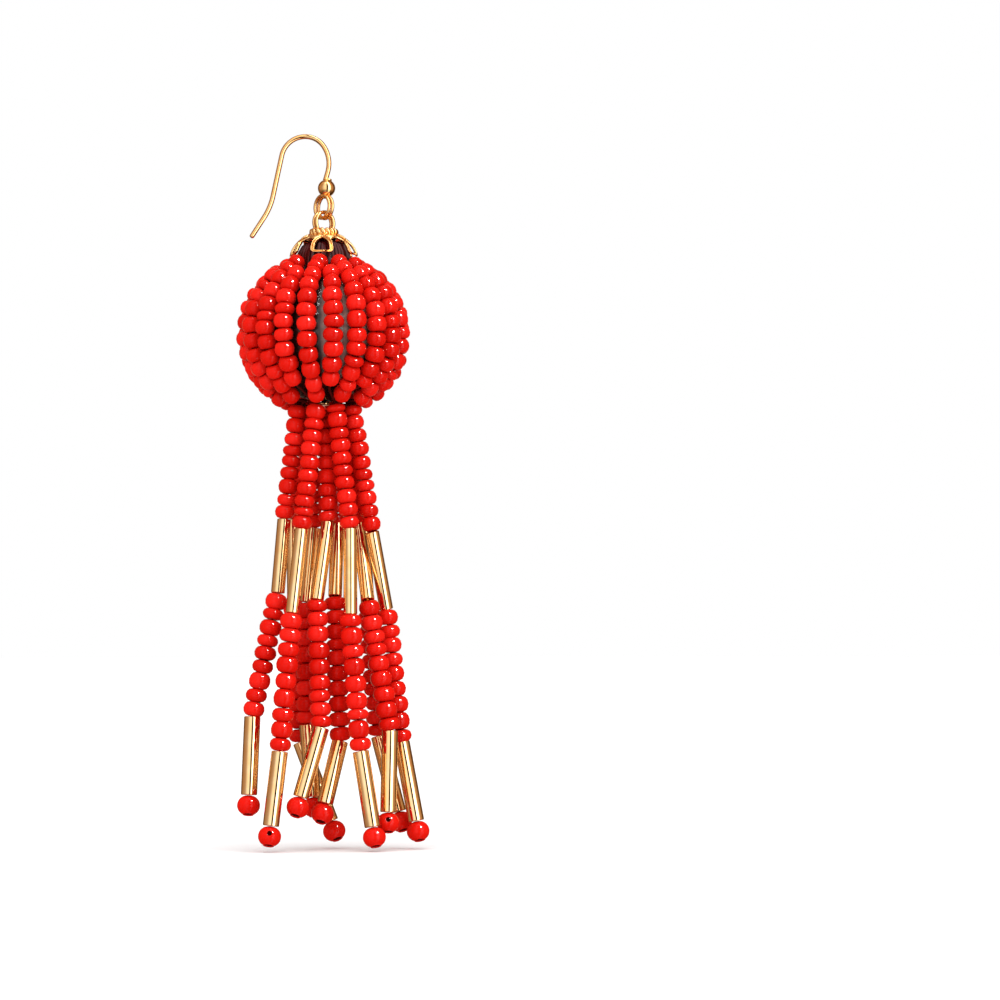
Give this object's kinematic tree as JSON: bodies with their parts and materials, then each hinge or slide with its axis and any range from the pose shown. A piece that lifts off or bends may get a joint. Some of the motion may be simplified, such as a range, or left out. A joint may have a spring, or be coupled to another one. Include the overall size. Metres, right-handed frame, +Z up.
{
  "type": "dangle earring",
  "caption": "Beaded ball and tassel drop earring: a gold ear hook and openwork cap carry a ball wrapped in strings of red seed beads, with loose bead strands and bugles below.",
  "frame": {"origin": "the ear seat: the underside of the ear wire at the top of its arch, where it rests in the ear", "axes": "+Z up, -Y towards the viewer, +X to the viewer's right; the ear wire's tail points to -X"},
  "size_m": [0.0308, 0.0278, 0.1148],
  "materials": {
    "gold_metal": "polished gold plate",
    "red_glass": "glossy opaque",
    "gold_glass": "glossy metallic",
    "core_wood": "satin"
  },
  "bodies": {
    "hook": {"ear_hook": "gold_metal"},
    "drop": {"eye_pin": "gold_metal", "bead_cap": "gold_metal", "core_ball": "core_wood", "ball_string_01": "red_glass", "ball_string_02": "red_glass", "ball_string_03": "red_glass", "ball_string_04": "red_glass", "ball_string_05": "red_glass", "ball_string_06": "red_glass", "ball_string_07": "red_glass", "ball_string_08": "red_glass", "ball_string_09": "red_glass", "ball_string_10": "red_glass", "ball_string_11": "red_glass", "ball_string_12": "red_glass", "ball_string_13": "red_glass", "ball_string_14": "red_glass", "ball_string_15": "red_glass", "ball_string_16": "red_glass", "ball_string_17": "red_glass", "ball_string_18": "red_glass", "ball_string_19": "red_glass", "ball_string_20": "red_glass", "strand_01": "red_glass", "strand_02": "red_glass", "strand_03": "red_glass", "strand_04": "red_glass", "strand_05": "red_glass", "strand_06": "red_glass", "strand_07": "red_glass", "strand_08": "red_glass", "strand_09": "red_glass", "strand_10": "red_glass", "upper_bugle_01": "gold_glass", "upper_bugle_02": "gold_glass", "upper_bugle_03": "gold_glass", "upper_bugle_04": "gold_glass", "upper_bugle_05": "gold_glass", "upper_bugle_06": "gold_glass", "upper_bugle_07": "gold_glass", "upper_bugle_08": "gold_glass", "upper_bugle_09": "gold_glass", "upper_bugle_10": "gold_glass", "lower_bugle_01": "gold_glass", "lower_bugle_02": "gold_glass", "lower_bugle_03": "gold_glass", "lower_bugle_04": "gold_glass", "lower_bugle_05": "gold_glass", "lower_bugle_06": "gold_glass", "lower_bugle_07": "gold_glass", "lower_bugle_08": "gold_glass", "lower_bugle_09": "gold_glass", "lower_bugle_10": "gold_glass"}
  },
  "joints": [
    {"name": "drop_swing", "type": "hinge", "parent": "hook", "child": "drop", "pos_m": [0.00295, 0, -0.0129], "axis": [0.6157, -0.788, 0], "range_deg": [-38, 60]}
  ]
}
